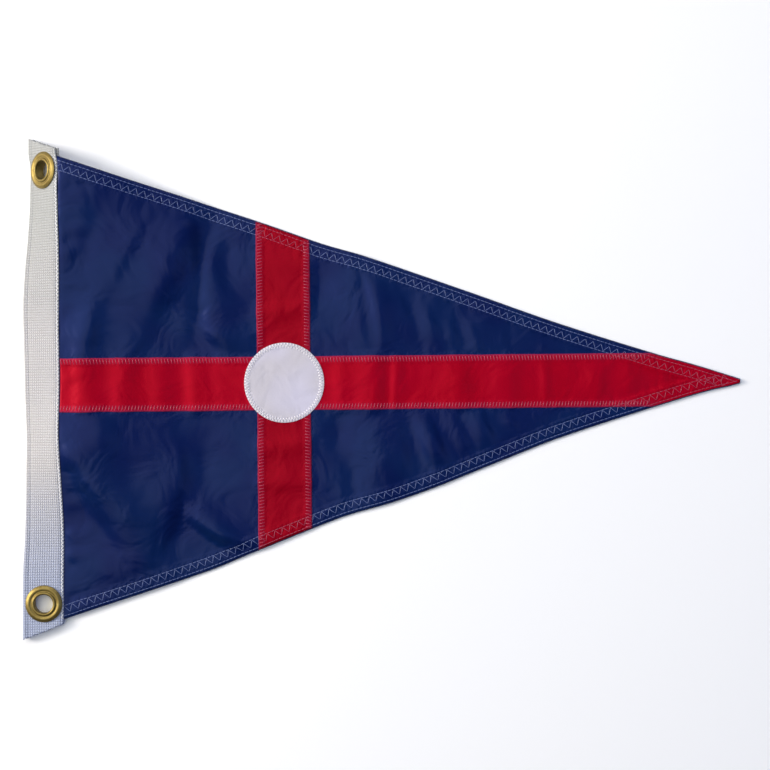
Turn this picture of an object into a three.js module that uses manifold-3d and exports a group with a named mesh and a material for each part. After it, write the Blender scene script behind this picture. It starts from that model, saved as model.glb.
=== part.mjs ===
// A sewn burgee, 12 by 18 inches, lying face up on a flat surface.
//
// The field is one navy triangle of nylon with its two long edges hemmed to the back. Four red arms of a
// cross and a white disc are laid on its face, and the cloth behind each is trimmed away inside the seam,
// so that every colour shows on both faces. The hoist edge is held in a folded tape of white webbing, with
// a brass grommet and washer through each end of the tape.
//
// Millimetres. +X runs from the hoist to the fly tip, +Y to the top of the hoist and +Z up. Everything is
// worked out in a plan frame, which has x = 0 and y = 0 at the middle of the laid burgee as seen from
// above, and the finished group is then moved so that its box stands on z = 0, centred on the origin.

import * as THREE from "three";
import { mergeVertices } from "three/addons/utils/BufferGeometryUtils.js";
import Module from "manifold-3d";

// Thicknesses, and the gap kept between any two pieces
const CLOTH = 1.0;
const WEBBING = 1.2;
const GAP = 0.3;
const HEM_FOLD = 0.8;

// The triangle: where the webbing's edge crosses the two hemmed edges, and the blunt fly tip
const SEAM_TOP = { x: -202.6, y: 147.0 };
const SEAM_FOOT = { x: -206.2, y: -147.6 };
const TIP_X = 226.5;
const TIP_TOP = 1.9;
const TIP_FOOT = -1.5;
const HEM_WIDTH = 10.5;

// How far each long edge bows in from a straight line, by its distance along x from the hoist
const TOP_BOW = [
  { along: 0, inward: 1.8 },
  { along: 36, inward: 1.5 },
  { along: 76, inward: 0.8 },
  { along: 125, inward: 0.7 },
  { along: 163, inward: 1.5 },
  { along: 190, inward: 0.5 },
  { along: 252, inward: 1.4 },
  { along: 316, inward: 2.9 },
  { along: 378, inward: 1.9 },
  { along: 400, inward: 0.8 },
  { along: 432, inward: 0.3 },
];
const FOOT_BOW = [
  { along: 0, inward: 0.4 },
  { along: 50, inward: -0.5 },
  { along: 92, inward: -1.0 },
  { along: 120, inward: 0.7 },
  { along: 160, inward: 2.9 },
  { along: 178, inward: 3.6 },
  { along: 216, inward: 1.7 },
  { along: 234, inward: 1.8 },
  { along: 278, inward: 4.1 },
  { along: 317, inward: 5.9 },
  { along: 384, inward: 4.3 },
  { along: 412, inward: 2.8 },
  { along: 433, inward: 0.6 },
];

// The cross and the disc
const BAND_WIDTH = 34.2;
const BAND_Y = 1.7;
const UPRIGHT_X = -64.4;
const DISC = { x: -64.2, y: 2.1, radius: 25.8 };
const SEAM_LAP = 5;

// The heading: webbing folded round the hoist edge, with its ends cut at a slant
const HEADING_WIDTH = 26.2;
const TUCK = 3.4;
const HEADING_TOP = { fold: 158.8, seam: 150.4 };
const HEADING_FOOT = { fold: -159.8, seam: -150.2 };

// How the heading lies: its tilt in degrees, left edge down, the height of its fold line, how far its free
// edge is off a straight line to the fly side, and how wide it lies as a share of its own width
const HEADING_LIE = [
  { y: -170, tilt: 0, fold: 2.8, off: 0.2, wide: 0.985 },
  { y: -122, tilt: 0, fold: 2.8, off: 0.2, wide: 0.985 },
  { y: -92, tilt: 3, fold: 1.9, off: 0.4, wide: 0.95 },
  { y: -61, tilt: 14, fold: 1.3, off: -0.2, wide: 0.92 },
  { y: -31, tilt: 25, fold: 0.9, off: -0.9, wide: 0.93 },
  { y: 8, tilt: 18, fold: 1.1, off: -1.2, wide: 0.94 },
  { y: 46, tilt: 18, fold: 1.1, off: -1.7, wide: 0.965 },
  { y: 70, tilt: 24, fold: 0.9, off: -1.0, wide: 1.0 },
  { y: 96, tilt: 34, fold: 0.7, off: -0.5, wide: 1.01 },
  { y: 123, tilt: 40, fold: 0.5, off: -0.8, wide: 1.0 },
  { y: 170, tilt: 40, fold: 0.5, off: -0.8, wide: 1.0 },
];

// The cloth leaves the webbing in the heading's own slope, and comes down to the surface over this length
const ROUNDING = 8;
const HOIST_FALL = 95;
const LYING_HEIGHT = HEM_FOLD;

// Soft folds in the cloth: middle, direction of the crest in degrees, half length, half width, height,
// and how fast the crest bends away to its left, per millimetre squared
const FOLDS = [
  { x: -143, y: 80, turn: 43, long: 42, wide: 17, high: 4.2, bend: 0 },
  { x: -112, y: 62, turn: 90, long: 34, wide: 10, high: 3.0, bend: -0.006 },
  { x: -180, y: 40, turn: 20, long: 20, wide: 12, high: 1.8, bend: 0 },
  { x: -29, y: 56, turn: 90, long: 26, wide: 9, high: 2.0, bend: 0.006 },
  { x: -5, y: 48, turn: 100, long: 30, wide: 8, high: 2.0, bend: 0.005 },
  { x: 45, y: 36, turn: 96, long: 20, wide: 8, high: 1.2, bend: 0 },
  { x: 84, y: 28, turn: 94, long: 16, wide: 7, high: 0.9, bend: 0 },
  { x: -165, y: -73, turn: 104, long: 55, wide: 16, high: 4.2, bend: 0 },
  { x: -130, y: -70, turn: 88, long: 38, wide: 12, high: 3.2, bend: -0.006 },
  { x: -104, y: -92, turn: 128, long: 24, wide: 8, high: 1.8, bend: 0 },
  { x: -8, y: -52, turn: 96, long: 26, wide: 13, high: 2.2, bend: 0.004 },
  { x: 26, y: -42, turn: 112, long: 22, wide: 8, high: 2.0, bend: 0.004 },
  { x: 66, y: -30, turn: 120, long: 18, wide: 7, high: 1.6, bend: 0 },
  { x: 94, y: -23, turn: 122, long: 14, wide: 6, high: 1.2, bend: 0 },
];

// Grommets: their middles, from the fold along the webbing and along y, and the ring's section
const GROMMETS = [
  { place: "upper", fromFold: 14.0, y: 137.7 },
  { place: "lower", fromFold: 14.0, y: -136.8 },
];
const FLANGE_RADIUS = 11.7;
const HOLE_RADIUS = 5.8;
const BARREL_WALL = 0.8;
const FLANGE_RISE = 1.7;
const FLANGE_FLAT = { from: 7.9, to: 9.3 };
const WASHER_THICK = 1.0;
const ROUND_STEPS = 26;

// The mesh that every cloth piece is cut from: its columns are closer together towards the hoist
const GRID = { left: -214, right: 234, bottom: -164, top: 164, columns: 50, rows: 30, crowding: 1.3 };

const COLOURS = {
  navy: { color: 0x14224f, roughness: 0.42, metalness: 0 },
  red: { color: 0xa50826, roughness: 0.42, metalness: 0 },
  white: { color: 0xdad7e0, roughness: 0.5, metalness: 0 },
  tape: { color: 0xd3d0d2, roughness: 0.85, metalness: 0 },
  brass: { color: 0xb59a3c, roughness: 0.3, metalness: 1 },
};

const wasm = await Module();
wasm.setup();

const radians = (degrees) => (degrees * Math.PI) / 180;

// A value read from a table's rows, by a smooth curve through them that turns level at each high and low
function readTable(rows, key, column, at) {
  const last = rows.length - 1;
  if (at <= rows[0][key]) return rows[0][column];
  if (at >= rows[last][key]) return rows[last][column];
  const next = rows.findIndex((row) => row[key] > at);
  const secant = (i) => (rows[i][column] - rows[i - 1][column]) / (rows[i][key] - rows[i - 1][key]);
  const slopeAt = (i) => {
    if (i === 0 || i === last || secant(i) * secant(i + 1) <= 0) return 0;
    return (secant(i) + secant(i + 1)) / 2;
  };
  const [a, b] = [rows[next - 1], rows[next]];
  const span = b[key] - a[key];
  const t = (at - a[key]) / span;
  const smooth = t * t * (3 - 2 * t);
  const bulge = t * (1 - t) * ((1 - t) * slopeAt(next - 1) - t * slopeAt(next)) * span;
  return a[column] + (b[column] - a[column]) * smooth + bulge;
}

// The plan line of the webbing's edge
function seamX(y) {
  const share = (y - SEAM_FOOT.y) / (SEAM_TOP.y - SEAM_FOOT.y);
  const straight = SEAM_FOOT.x + (SEAM_TOP.x - SEAM_FOOT.x) * share;
  return straight + readTable(HEADING_LIE, "y", "off", y);
}

// A long edge of the burgee, moved in from where it is by inset
function edgeY(corner, tipY, bow, x, inset = 0) {
  const slope = (tipY - corner.y) / (TIP_X - corner.x);
  const straight = corner.y + slope * (x - corner.x);
  const inward = readTable(bow, "along", "inward", x - corner.x) + inset * Math.hypot(1, slope);
  return straight - Math.sign(corner.y) * inward;
}
const topY = (x, inset) => edgeY(SEAM_TOP, TIP_TOP, TOP_BOW, x, inset);
const footY = (x, inset) => edgeY(SEAM_FOOT, TIP_FOOT, FOOT_BOW, x, inset);

// The height that one fold adds at a point
function foldHeight(fold, x, y) {
  const turn = radians(fold.turn);
  const along = (x - fold.x) * Math.cos(turn) + (y - fold.y) * Math.sin(turn);
  const across = (y - fold.y) * Math.cos(turn) - (x - fold.x) * Math.sin(turn);
  const off = across - fold.bend * along * along;
  return fold.high * Math.exp(-((along / fold.long) ** 2) - (off / fold.wide) ** 2);
}

// The height of the cloth's underside over the surface that it lies on
function clothHeight(x, y) {
  const tilt = radians(readTable(HEADING_LIE, "y", "tilt", y));
  const fold = readTable(HEADING_LIE, "y", "fold", y);
  const seamHeight = fold + HEADING_WIDTH * Math.sin(tilt);
  const past = x - seamX(y);
  if (past <= 0) return seamHeight + past * Math.tan(tilt);
  const share = Math.min(past / HOIST_FALL, 1);
  const fall = 1 - share * share * (3 - 2 * share);
  const round = past * Math.tan(tilt) * Math.exp(-((past / ROUNDING) ** 2));
  const folds = FOLDS.reduce((sum, row) => sum + foldHeight(row, x, y), 0);
  const fadeIn = 1 - Math.exp(-((past / ROUNDING) ** 2));
  return LYING_HEIGHT + (seamHeight - LYING_HEIGHT) * fall + round + folds * fadeIn;
}

// The cloth's normal at a plan point
function clothNormal(x, y) {
  const step = 0.5;
  const slopeX = (clothHeight(x + step, y) - clothHeight(x - step, y)) / (2 * step);
  const slopeY = (clothHeight(x, y + step) - clothHeight(x, y - step)) / (2 * step);
  return new THREE.Vector3(-slopeX, -slopeY, 1).normalize();
}

// The place of a point that lies at plan x and y, and stands off the cloth's underside by level
function lay(x, y, level) {
  return new THREE.Vector3(x, y, clothHeight(x, y)).addScaledVector(clothNormal(x, y), level);
}

// The plan x of a point on the webbing at a distance from its fold
function headingX(fromFold, y) {
  const tilt = radians(readTable(HEADING_LIE, "y", "tilt", y));
  const wide = readTable(HEADING_LIE, "y", "wide", y);
  return seamX(y) - (HEADING_WIDTH - fromFold) * wide * Math.cos(tilt);
}

// A geometry with each of its points moved by a function
function mapped(geometry, move) {
  const place = geometry.getAttribute("position");
  const point = new THREE.Vector3();
  for (let i = 0; i < place.count; i += 1) {
    point.copy(move(point.fromBufferAttribute(place, i)));
    place.setXYZ(i, point.x, point.y, point.z);
  }
  return geometry;
}

// A closed geometry as a solid that can be joined and cut
function solid(geometry) {
  const bare = geometry.index ? geometry.toNonIndexed() : geometry;
  const points = new THREE.BufferGeometry().setAttribute("position", bare.getAttribute("position"));
  const merged = mergeVertices(points, 1e-4);
  return new wasm.Manifold(
    new wasm.Mesh({
      numProp: 3,
      vertProperties: new Float32Array(merged.attributes.position.array),
      triVerts: new Uint32Array(merged.index.array),
    }),
  );
}

// A solid as a geometry with flat faces
function geometryOf(body) {
  const { vertProperties, triVerts } = body.getMesh();
  const indexed = new THREE.BufferGeometry();
  indexed.setAttribute("position", new THREE.BufferAttribute(new Float32Array(vertProperties), 3));
  indexed.setIndex(new THREE.BufferAttribute(new Uint32Array(triVerts), 1));
  const flat = indexed.toNonIndexed();
  flat.computeVertexNormals();
  return flat;
}

// A layer of the whole laid cloth between two levels, from which the pieces are cut
function layer(low, high) {
  const box = new THREE.BoxGeometry(1, 1, 1, GRID.columns, GRID.rows, 1);
  const place = (p) => {
    const x = GRID.left + (GRID.right - GRID.left) * (p.x + 0.5) ** GRID.crowding;
    const y = GRID.bottom + (GRID.top - GRID.bottom) * (p.y + 0.5);
    return lay(x, y, p.z > 0 ? high : low);
  };
  return solid(mapped(box, place));
}

// An upright prism over a plan outline, tall enough to cut through every layer
function prism(points) {
  const reach = 60;
  const shape = new THREE.Shape(points.map(([x, y]) => new THREE.Vector2(x, y)));
  const extruded = new THREE.ExtrudeGeometry(shape, { depth: 2 * reach, bevelEnabled: false });
  return solid(extruded.translate(0, 0, -reach));
}

// Plan points along a line of x, from one value to another
function along(from, to, steps, place) {
  const spot = (i) => from + ((to - from) * i) / steps;
  return Array.from({ length: steps + 1 }, (_, i) => place(spot(i)));
}

// The triangle between the long edges, moved in by inset, from a line that stands off the seam to fly
function triangle(inset, hoistOff, fly) {
  const steps = 30;
  const low = -125;
  const high = 125;
  const foot = along(SEAM_FOOT.x + hoistOff, fly, steps, (x) => [x, footY(x, inset)]);
  const top = along(fly, SEAM_TOP.x + hoistOff, steps, (x) => [x, topY(x, inset)]);
  const hoist = along(high, low, 10, (y) => [seamX(y) + hoistOff, y]);
  return [...foot, ...top, ...hoist];
}
const outline = (hoistOff) => triangle(0, hoistOff, TIP_X);

// The triangle inside both hems, out to where the hems meet near the tip
function insideHems(hoistOff) {
  const room = (x) => topY(x, HEM_WIDTH) - footY(x, HEM_WIDTH);
  const meet = along(TIP_X, 0, 200, (x) => x).find((x) => room(x) > 1);
  return triangle(HEM_WIDTH, hoistOff, meet);
}

function rectangle(left, right, low, high) {
  return [
    [left, low],
    [right, low],
    [right, high],
    [left, high],
  ];
}

function circle(centre, radius, steps = 40) {
  const place = (i) => [
    centre.x + radius * Math.cos((2 * Math.PI * (i + 0.5)) / steps),
    centre.y + radius * Math.sin((2 * Math.PI * (i + 0.5)) / steps),
  ];
  return Array.from({ length: steps }, (_, i) => place(i));
}

// The plan of the cross and the disc, with every edge moved in by inset
function device(inset) {
  const half = BAND_WIDTH / 2 - inset;
  const bar = prism(rectangle(GRID.left, GRID.right, BAND_Y - half, BAND_Y + half));
  const upright = prism(rectangle(UPRIGHT_X - half, UPRIGHT_X + half, GRID.bottom, GRID.top));
  return bar.add(upright).add(prism(circle(DISC, DISC.radius - inset)));
}

// The navy triangle: one layer, doubled along its hems, with the cloth behind the device trimmed away
function fieldSolid() {
  const tape = prism(rectangle(2 * GRID.left, SEAM_TOP.x + WEBBING, 2 * GRID.bottom, 2 * GRID.top));
  const hem = layer(-HEM_FOLD, CLOTH / 2).subtract(prism(insideHems(0))).subtract(tape);
  const window = device(SEAM_LAP).intersect(prism(insideHems(SEAM_LAP)));
  return layer(0, CLOTH).add(hem).intersect(prism(outline(-TUCK))).subtract(window);
}

// The red arms: strips over the field's face that end on the hemmed edges, and under the disc's rim
function armSolids() {
  const half = BAND_WIDTH / 2;
  const hoistOff = 0.45;
  const cloth = layer(CLOTH + GAP, 2 * CLOTH + GAP)
    .intersect(prism(outline(hoistOff)))
    .subtract(prism(circle(DISC, DISC.radius - SEAM_LAP)));
  const bar = (from, to) => prism(rectangle(from, to, BAND_Y - half, BAND_Y + half));
  const upright = (from, to) => prism(rectangle(UPRIGHT_X - half, UPRIGHT_X + half, from, to));
  return {
    arm_hoist: cloth.intersect(bar(GRID.left, DISC.x)),
    arm_fly: cloth.intersect(bar(DISC.x, GRID.right)),
    arm_upper: cloth.intersect(upright(BAND_Y + half + GAP, GRID.top)),
    arm_lower: cloth.intersect(upright(GRID.bottom, BAND_Y - half - GAP)),
  };
}

function discSolid() {
  const level = 2 * (CLOTH + GAP);
  return layer(level, level + CLOTH).intersect(prism(circle(DISC, DISC.radius)));
}

// The webbing's section: two leaves joined by a round fold
function headingSection() {
  const front = CLOTH + GAP;
  const middle = CLOTH / 2;
  const inside = middle + GAP;
  const outside = inside + WEBBING;
  const shape = new THREE.Shape();
  shape.moveTo(HEADING_WIDTH, front);
  shape.lineTo(HEADING_WIDTH, front + WEBBING);
  shape.absarc(outside, middle, outside, radians(90), radians(270), false);
  shape.lineTo(HEADING_WIDTH, -GAP - WEBBING);
  shape.lineTo(HEADING_WIDTH, -GAP);
  shape.absarc(outside, middle, inside, radians(270), radians(90), true);
  return shape;
}

// A slanted plane across the heading's end, as a prism that takes off what lies past it
function endCut(end) {
  const past = Math.sign(end.fold) * 40;
  const margin = 20;
  const slope = (end.seam - end.fold) / HEADING_WIDTH;
  const left = headingX(0, end.fold) - margin;
  const right = seamX(end.seam) + margin;
  return prism([
    [left, end.fold - slope * margin],
    [right, end.seam + slope * margin],
    [right, end.seam + past],
    [left, end.fold + past],
  ]);
}

function grommetFrame(row) {
  const x = headingX(row.fromFold, row.y);
  const frame = new THREE.Object3D();
  frame.position.copy(lay(x, row.y, 0));
  frame.quaternion.setFromUnitVectors(new THREE.Vector3(0, 0, 1), clothNormal(x, row.y));
  frame.updateMatrix();
  return frame;
}

function headingSolid() {
  const extruded = new THREE.ExtrudeGeometry(headingSection(), {
    depth: 1,
    steps: GRID.rows,
    curveSegments: 3,
    bevelEnabled: false,
  });
  const place = (p) => {
    const y = GRID.top - (GRID.top - GRID.bottom) * p.z;
    return lay(headingX(p.x, y), y, p.y);
  };
  const tape = solid(mapped(extruded, place));
  const holes = GROMMETS.map((row) => {
    const reach = 12;
    const drill = new THREE.CylinderGeometry(
      HOLE_RADIUS + BARREL_WALL + GAP,
      HOLE_RADIUS + BARREL_WALL + GAP,
      reach,
      ROUND_STEPS,
    );
    drill.rotateX(Math.PI / 2).applyMatrix4(grommetFrame(row).matrix);
    return solid(drill);
  });
  return [endCut(HEADING_TOP), endCut(HEADING_FOOT), ...holes].reduce((left, cut) => left.subtract(cut), tape);
}

// Half sections of the ring, as [radius, level over the cloth's underside]. The grommet is a domed flange
// on the face of the webbing and a barrel through it, whose end is turned out over the washer.
const FACE = CLOTH + GAP + WEBBING + GAP;
const BACK = -(GAP + WEBBING + GAP);

function grommetProfile() {
  const barrel = HOLE_RADIUS + BARREL_WALL;
  const crest = FACE + FLANGE_RISE;
  const turned = BACK - WASHER_THICK;
  return [
    [HOLE_RADIUS, turned + 0.5],
    [HOLE_RADIUS, FACE + 0.7],
    [HOLE_RADIUS + 0.5, FACE + 1.3],
    [FLANGE_FLAT.from, crest],
    [FLANGE_FLAT.to, crest],
    [FLANGE_RADIUS - 0.8, FACE + 1.0],
    [FLANGE_RADIUS, FACE + 0.35],
    [FLANGE_RADIUS, FACE],
    [barrel, FACE],
    [barrel, BACK - WASHER_THICK / 2],
    [barrel + 0.6, turned],
    [barrel - 0.3, turned],
    [HOLE_RADIUS, turned + 0.5],
  ].reverse();
}

function washerProfile() {
  const inner = HOLE_RADIUS + BARREL_WALL + 0.3;
  const foot = BACK - WASHER_THICK;
  return [
    [inner, BACK],
    [inner, BACK - WASHER_THICK / 2 + 0.1],
    [inner + 0.7, foot],
    [FLANGE_RADIUS - 0.6, foot],
    [FLANGE_RADIUS, foot + 0.5],
    [FLANGE_RADIUS, BACK],
    [inner, BACK],
  ];
}

function ring(profile) {
  const points = profile.map(([radius, level]) => new THREE.Vector2(radius, level));
  const lathe = new THREE.LatheGeometry(points, ROUND_STEPS);
  return lathe.rotateX(Math.PI / 2);
}

function mesh(name, geometry, look) {
  const made = new THREE.Mesh(geometry, new THREE.MeshStandardMaterial(COLOURS[look]));
  made.name = name;
  return made;
}

const burgee = new THREE.Group();
burgee.add(mesh("field", geometryOf(fieldSolid()), "navy"));
for (const [name, body] of Object.entries(armSolids())) burgee.add(mesh(name, geometryOf(body), "red"));
burgee.add(mesh("disc", geometryOf(discSolid()), "white"));
burgee.add(mesh("heading", geometryOf(headingSolid()), "tape"));
for (const row of GROMMETS) {
  const frame = grommetFrame(row);
  frame.add(mesh(`grommet_${row.place}`, ring(grommetProfile()), "brass"));
  frame.add(mesh(`washer_${row.place}`, ring(washerProfile()), "brass"));
  burgee.add(frame);
}

// The origin goes under the middle of the finished burgee's box
const part = new THREE.Group();
part.add(burgee);
const box = new THREE.Box3().setFromObject(part, true);
burgee.position.set(-(box.min.x + box.max.x) / 2, -(box.min.y + box.max.y) / 2, -box.min.z);

export default part;
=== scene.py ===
"""A sewn burgee of glossy nylon, lying face up: its thin sheets, seams, webbing and brass grommets.

Lengths in the functions are millimetres in the plan frame: x runs from the hoist to the fly tip, y up the
hoist, and a level is a distance along the cloth's normal from the field's underside. Each cloth piece is
made flat, with its level as z, and is then laid over the folds. The meshes are in metres, in the row frame.
"""

import math
from collections import namedtuple

import bpy
import numpy as np
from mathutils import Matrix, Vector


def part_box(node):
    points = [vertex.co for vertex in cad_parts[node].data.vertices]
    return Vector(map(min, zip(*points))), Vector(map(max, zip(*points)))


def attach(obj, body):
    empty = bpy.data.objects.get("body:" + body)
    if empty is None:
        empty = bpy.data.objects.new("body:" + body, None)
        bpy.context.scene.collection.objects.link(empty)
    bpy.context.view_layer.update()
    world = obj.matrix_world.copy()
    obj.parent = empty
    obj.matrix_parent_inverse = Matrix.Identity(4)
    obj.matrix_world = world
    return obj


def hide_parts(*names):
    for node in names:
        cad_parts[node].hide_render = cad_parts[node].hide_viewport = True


bl_info = {
    "name": "Sewn burgee",
    "version": (1, 0, 0),
    "blender": (4, 5, 0),
    "location": "View3D > Sidebar > Burgee",
    "description": "Thin cloth, seams, webbing and grommets of a triangular burgee laid face up",
    "category": "Add Mesh",
}

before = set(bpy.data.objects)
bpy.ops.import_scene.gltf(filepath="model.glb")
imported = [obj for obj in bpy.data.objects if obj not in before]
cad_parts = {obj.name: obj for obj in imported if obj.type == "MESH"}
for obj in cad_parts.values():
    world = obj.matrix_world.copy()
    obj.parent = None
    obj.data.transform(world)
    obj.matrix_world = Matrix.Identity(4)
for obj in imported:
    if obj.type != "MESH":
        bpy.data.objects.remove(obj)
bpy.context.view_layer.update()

MM = 0.001
Row = namedtuple("Row", "at value")
Station = namedtuple("Station", "at tilt fold wide")
Fold = namedtuple("Fold", "x y turn long wide high bend skew", defaults=(0, 0))
Grommet = namedtuple("Grommet", "place from_fold y")

# The triangle and its hems
SEAM_TOP = (-202.6, 147.0)
SEAM_FOOT = (-206.2, -147.6)
TIP_X = 226.5
TIP_TOP = 1.9
TIP_FOOT = -1.5
HEM_WIDTH = 10.5
TUCK = 3.4

# How far each long edge bows in from a straight line, by its distance along x from the hoist
TOP_BOW = [
    Row(0, 1.8), Row(36, 1.5), Row(76, 0.8), Row(125, 0.7), Row(163, 1.5), Row(190, 0.5),
    Row(252, 1.4), Row(316, 2.9), Row(378, 1.9), Row(400, 0.8), Row(432, 0.3),
]
FOOT_BOW = [
    Row(0, 0.4), Row(50, -0.5), Row(92, -1.0), Row(120, 0.7), Row(160, 2.9), Row(178, 3.6),
    Row(216, 1.7), Row(234, 1.8), Row(278, 4.1), Row(317, 5.9), Row(384, 4.3), Row(412, 2.8),
    Row(433, 0.6),
]

# The cross and the disc
BAND_WIDTH = 34.2
BAND_Y = 1.7
UPRIGHT_X = -64.4
DISC_X = -64.2
DISC_Y = 2.1
DISC_RADIUS = 25.8
SEAM_LAP = 5.0
GAP = 0.3

# The webbing: where its slanted ends meet its fold and its free edges, how it lies by place along it (its
# tilt in degrees, its fold's height and how much of its width shows), and how far its free edge bows out
HEADING_WIDTH = 26.2
HEADING_TOP = (158.8, 150.4)
HEADING_FOOT = (-159.8, -150.2)
HEADING_LIES = [
    Station(-170, 0, 2.8, 0.985),
    Station(-122, 0, 2.8, 0.985),
    Station(-92, 3, 1.9, 0.95),
    Station(-61, 14, 1.3, 0.92),
    Station(-31, 25, 0.9, 0.93),
    Station(8, 18, 1.1, 0.94),
    Station(46, 18, 1.1, 0.965),
    Station(70, 24, 0.9, 1.0),
    Station(96, 34, 0.7, 1.01),
    Station(123, 40, 0.5, 1.0),
    Station(170, 40, 0.5, 1.0),
]
HEADING_OFF = [
    Row(-170, 0.2), Row(-122, 0.2), Row(-92, 0.4), Row(-61, -0.2), Row(-31, -0.9), Row(8, -1.2),
    Row(46, -1.7), Row(70, -1.0), Row(96, -0.5), Row(123, -0.8), Row(141, -0.9), Row(150, -2.0),
    Row(170, -2.0),
]

# The cloth beside it: how wide its crest is rounded, how far it runs to come down, and how high it lies
ROUNDING = 3.6
HOIST_FALL = 95.0
LYING_HEIGHT = 0.8

# The main folds: middle, direction of the crest in degrees, half length, half width, height, bend and skew
FOLDS = [
    Fold(-139, 80, 64, 42, 20, 5.0, 0, 0.4),
    Fold(-110, 60, 90, 36, 11, 3.4, -0.006, -0.35),
    Fold(-189, 33, 75, 18, 9, 2.0),
    Fold(-8, 50, 97, 30, 16, 2.4, 0.003),
    Fold(30, 40, 98, 20, 9, 0.9),
    Fold(62, 32, 98, 18, 8, 0.8),
    Fold(-174, -67, 122, 50, 13, 3.4),
    Fold(-180, -27, 115, 18, 9, 1.8),
    Fold(-117, -83, 132, 34, 9, 2.8, -0.012, -0.3),
    Fold(-4, -44, 96, 26, 12, 2.4, 0.003),
    Fold(28, -39, 108, 20, 7, 1.8, 0, -0.3),
    Fold(60, -30, 114, 16, 8, 1.2),
]

# Sharper creases that the thin cloth adds: a trough has a height under nought
CREASES = [
    Fold(-125, 70, 88, 34, 13, 3.4, 0.003, 0.5),
    Fold(-100, 80, 92, 16, 8, -1.8),
    Fold(-112, 36, 150, 16, 6, 1.2, 0.004, 0.3),
    Fold(-98, 33, 165, 16, 5, 1.4, 0, 0.3),
    Fold(-164, 86, 60, 30, 8, 1.0, 0, 0.4),
    Fold(-188, 34, 78, 18, 8, 1.4, 0, 0.4),
    Fold(-160, 24, 60, 9, 5, 0.9, 0, 0.4),
    Fold(-186, 92, 70, 24, 6, -0.7),
    Fold(-40, 63, 90, 13, 8, -1.5),
    Fold(-12, 50, 97, 22, 4, -0.9),
    Fold(-3, 47, 100, 24, 5.5, 1.3, 0.004, -0.45),
    Fold(13, 42, 108, 15, 5.5, 1.0, 0.004, 0.3),
    Fold(29, 38, 112, 13, 5.0, 0.9, 0, 0.3),
    Fold(43, 33, 104, 12, 4.2, 0.9, 0, 0.3),
    Fold(57, 30, 112, 11, 4.0, 0.8, 0, 0.3),
    Fold(76, 26, 100, 9, 4.0, 0.6, 0, 0.3),
    Fold(101, 20, 104, 7, 3.5, 0.5, 0, 0.3),
    Fold(-193, -54, 122, 30, 5.0, 1.4, 0, -0.3),
    Fold(-176, -84, 118, 40, 7.0, 1.3, 0, -0.3),
    Fold(-182, -112, 146, 40, 14, 1.6, 0, -0.3),
    Fold(-139, -68, 80, 32, 18, 4.4, 0.005, 0.6),
    Fold(-118, -62, 80, 20, 9, -0.8),
    Fold(-108, -92, 142, 22, 6, 1.8, 0.006, -0.3),
    Fold(-92, -100, 165, 14, 5, 1.0),
    Fold(-30, -30, 90, 12, 7, -1.4),
    Fold(-22, -62, 92, 14, 5, -0.8),
    Fold(10, -44, 100, 20, 6.0, 1.1, 0, 0.3),
    Fold(31, -37, 112, 17, 5.5, 1.5, 0, 0.3),
    Fold(47, -32, 115, 15, 5.0, 1.4, 0, 0.3),
    Fold(63, -28, 115, 12, 4.5, 1.0, 0, 0.3),
    Fold(80, -24, 118, 10, 4.0, 0.8, 0, 0.3),
    Fold(98, -20, 118, 8, 3.6, 0.6, 0, 0.3),
    Fold(116, -15, 118, 6, 3.0, 0.4, 0, 0.3),
]

# Ripples that run across the red band, and those across the upright
BAND_RIPPLES = [
    Fold(-191, 1, 92, 30, 8.0, 1.7, 0, -0.25),
    Fold(-167, 1, 88, 30, 8.0, 1.4, 0, -0.25),
    Fold(-143, 1, 92, 30, 8.0, 1.2, 0, -0.1),
    Fold(-121, 1, 94, 30, 7.5, 1.5, 0, -0.3),
    Fold(-105, 1, 88, 30, 6.0, 0.5, 0, -0.2),
    Fold(-28, 1, 90, 26, 6.0, 1.0, 0, -0.2),
    Fold(-8, 1, 91, 26, 9.0, 1.8, 0, 0.2),
    Fold(7, 1, 88, 24, 4.0, 0.9, 0, -0.3),
    Fold(46, 1, 91, 24, 9.0, 1.3, 0, 0.1),
    Fold(78, 1, 90, 22, 9.0, 1.1, 0, 0.1),
    Fold(102, 1, 92, 18, 3.2, 0.6),
    Fold(134, 1, 90, 16, 7.0, 0.9, 0, 0.1),
    Fold(156, 1, 91, 14, 7.0, 0.9, 0, 0.1),
    Fold(176, 1, 90, 12, 6.0, 0.5),
    Fold(206, 7, -30, 7, 2.5, 0.9),
    Fold(-64, 49, 4, 26, 5, 1.2, 0, -0.2),
    Fold(-64, 79, 176, 26, 7, 0.8),
    Fold(-64, -38, 2, 26, 6, 1.2, 0, -0.2),
    Fold(-64, -62, 178, 26, 6, 1.1, 0, -0.2),
    Fold(-64, -86, 3, 26, 6, 0.5),
]

# Levels of the faces and of the turned hems' back, and the lowest height over the surface
FIELD_FACE = 0.95
ARM_FACE = 1.25
DISC_FACE = 1.6
HEM_BACK = -0.6
LOWEST = 0.03

# How far in from its edge each straight row and each zigzag of stitches runs
HEM_ROWS = {"top": (2.5, 8.4), "foot": (2.0, 8.05)}
HEM_ZIGZAG = {"top": (4.0, 8.0), "foot": (3.6, 7.8)}
BAND_ZIGZAG = (0.7, 4.0)
DISC_ZIGZAG = (0.4, 3.5)

# The webbing's seam stitch and faces, and the grommets and washers
BEAD = 2.3
WEBBING_FRONT = 2.5
WEBBING_BACK = -1.5
WEBBING_THICK = 1.1
SELVAGE_DROP = 0.9
GROMMETS = [Grommet("upper", 14.0, 137.7), Grommet("lower", 14.0, -136.8)]
FLANGE_RADIUS = 11.7
HOLE_RADIUS = 5.8
BARREL_WALL = 0.8
RIM_HEIGHT = 4.5
WASHER_FOOT = -2.8

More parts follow.
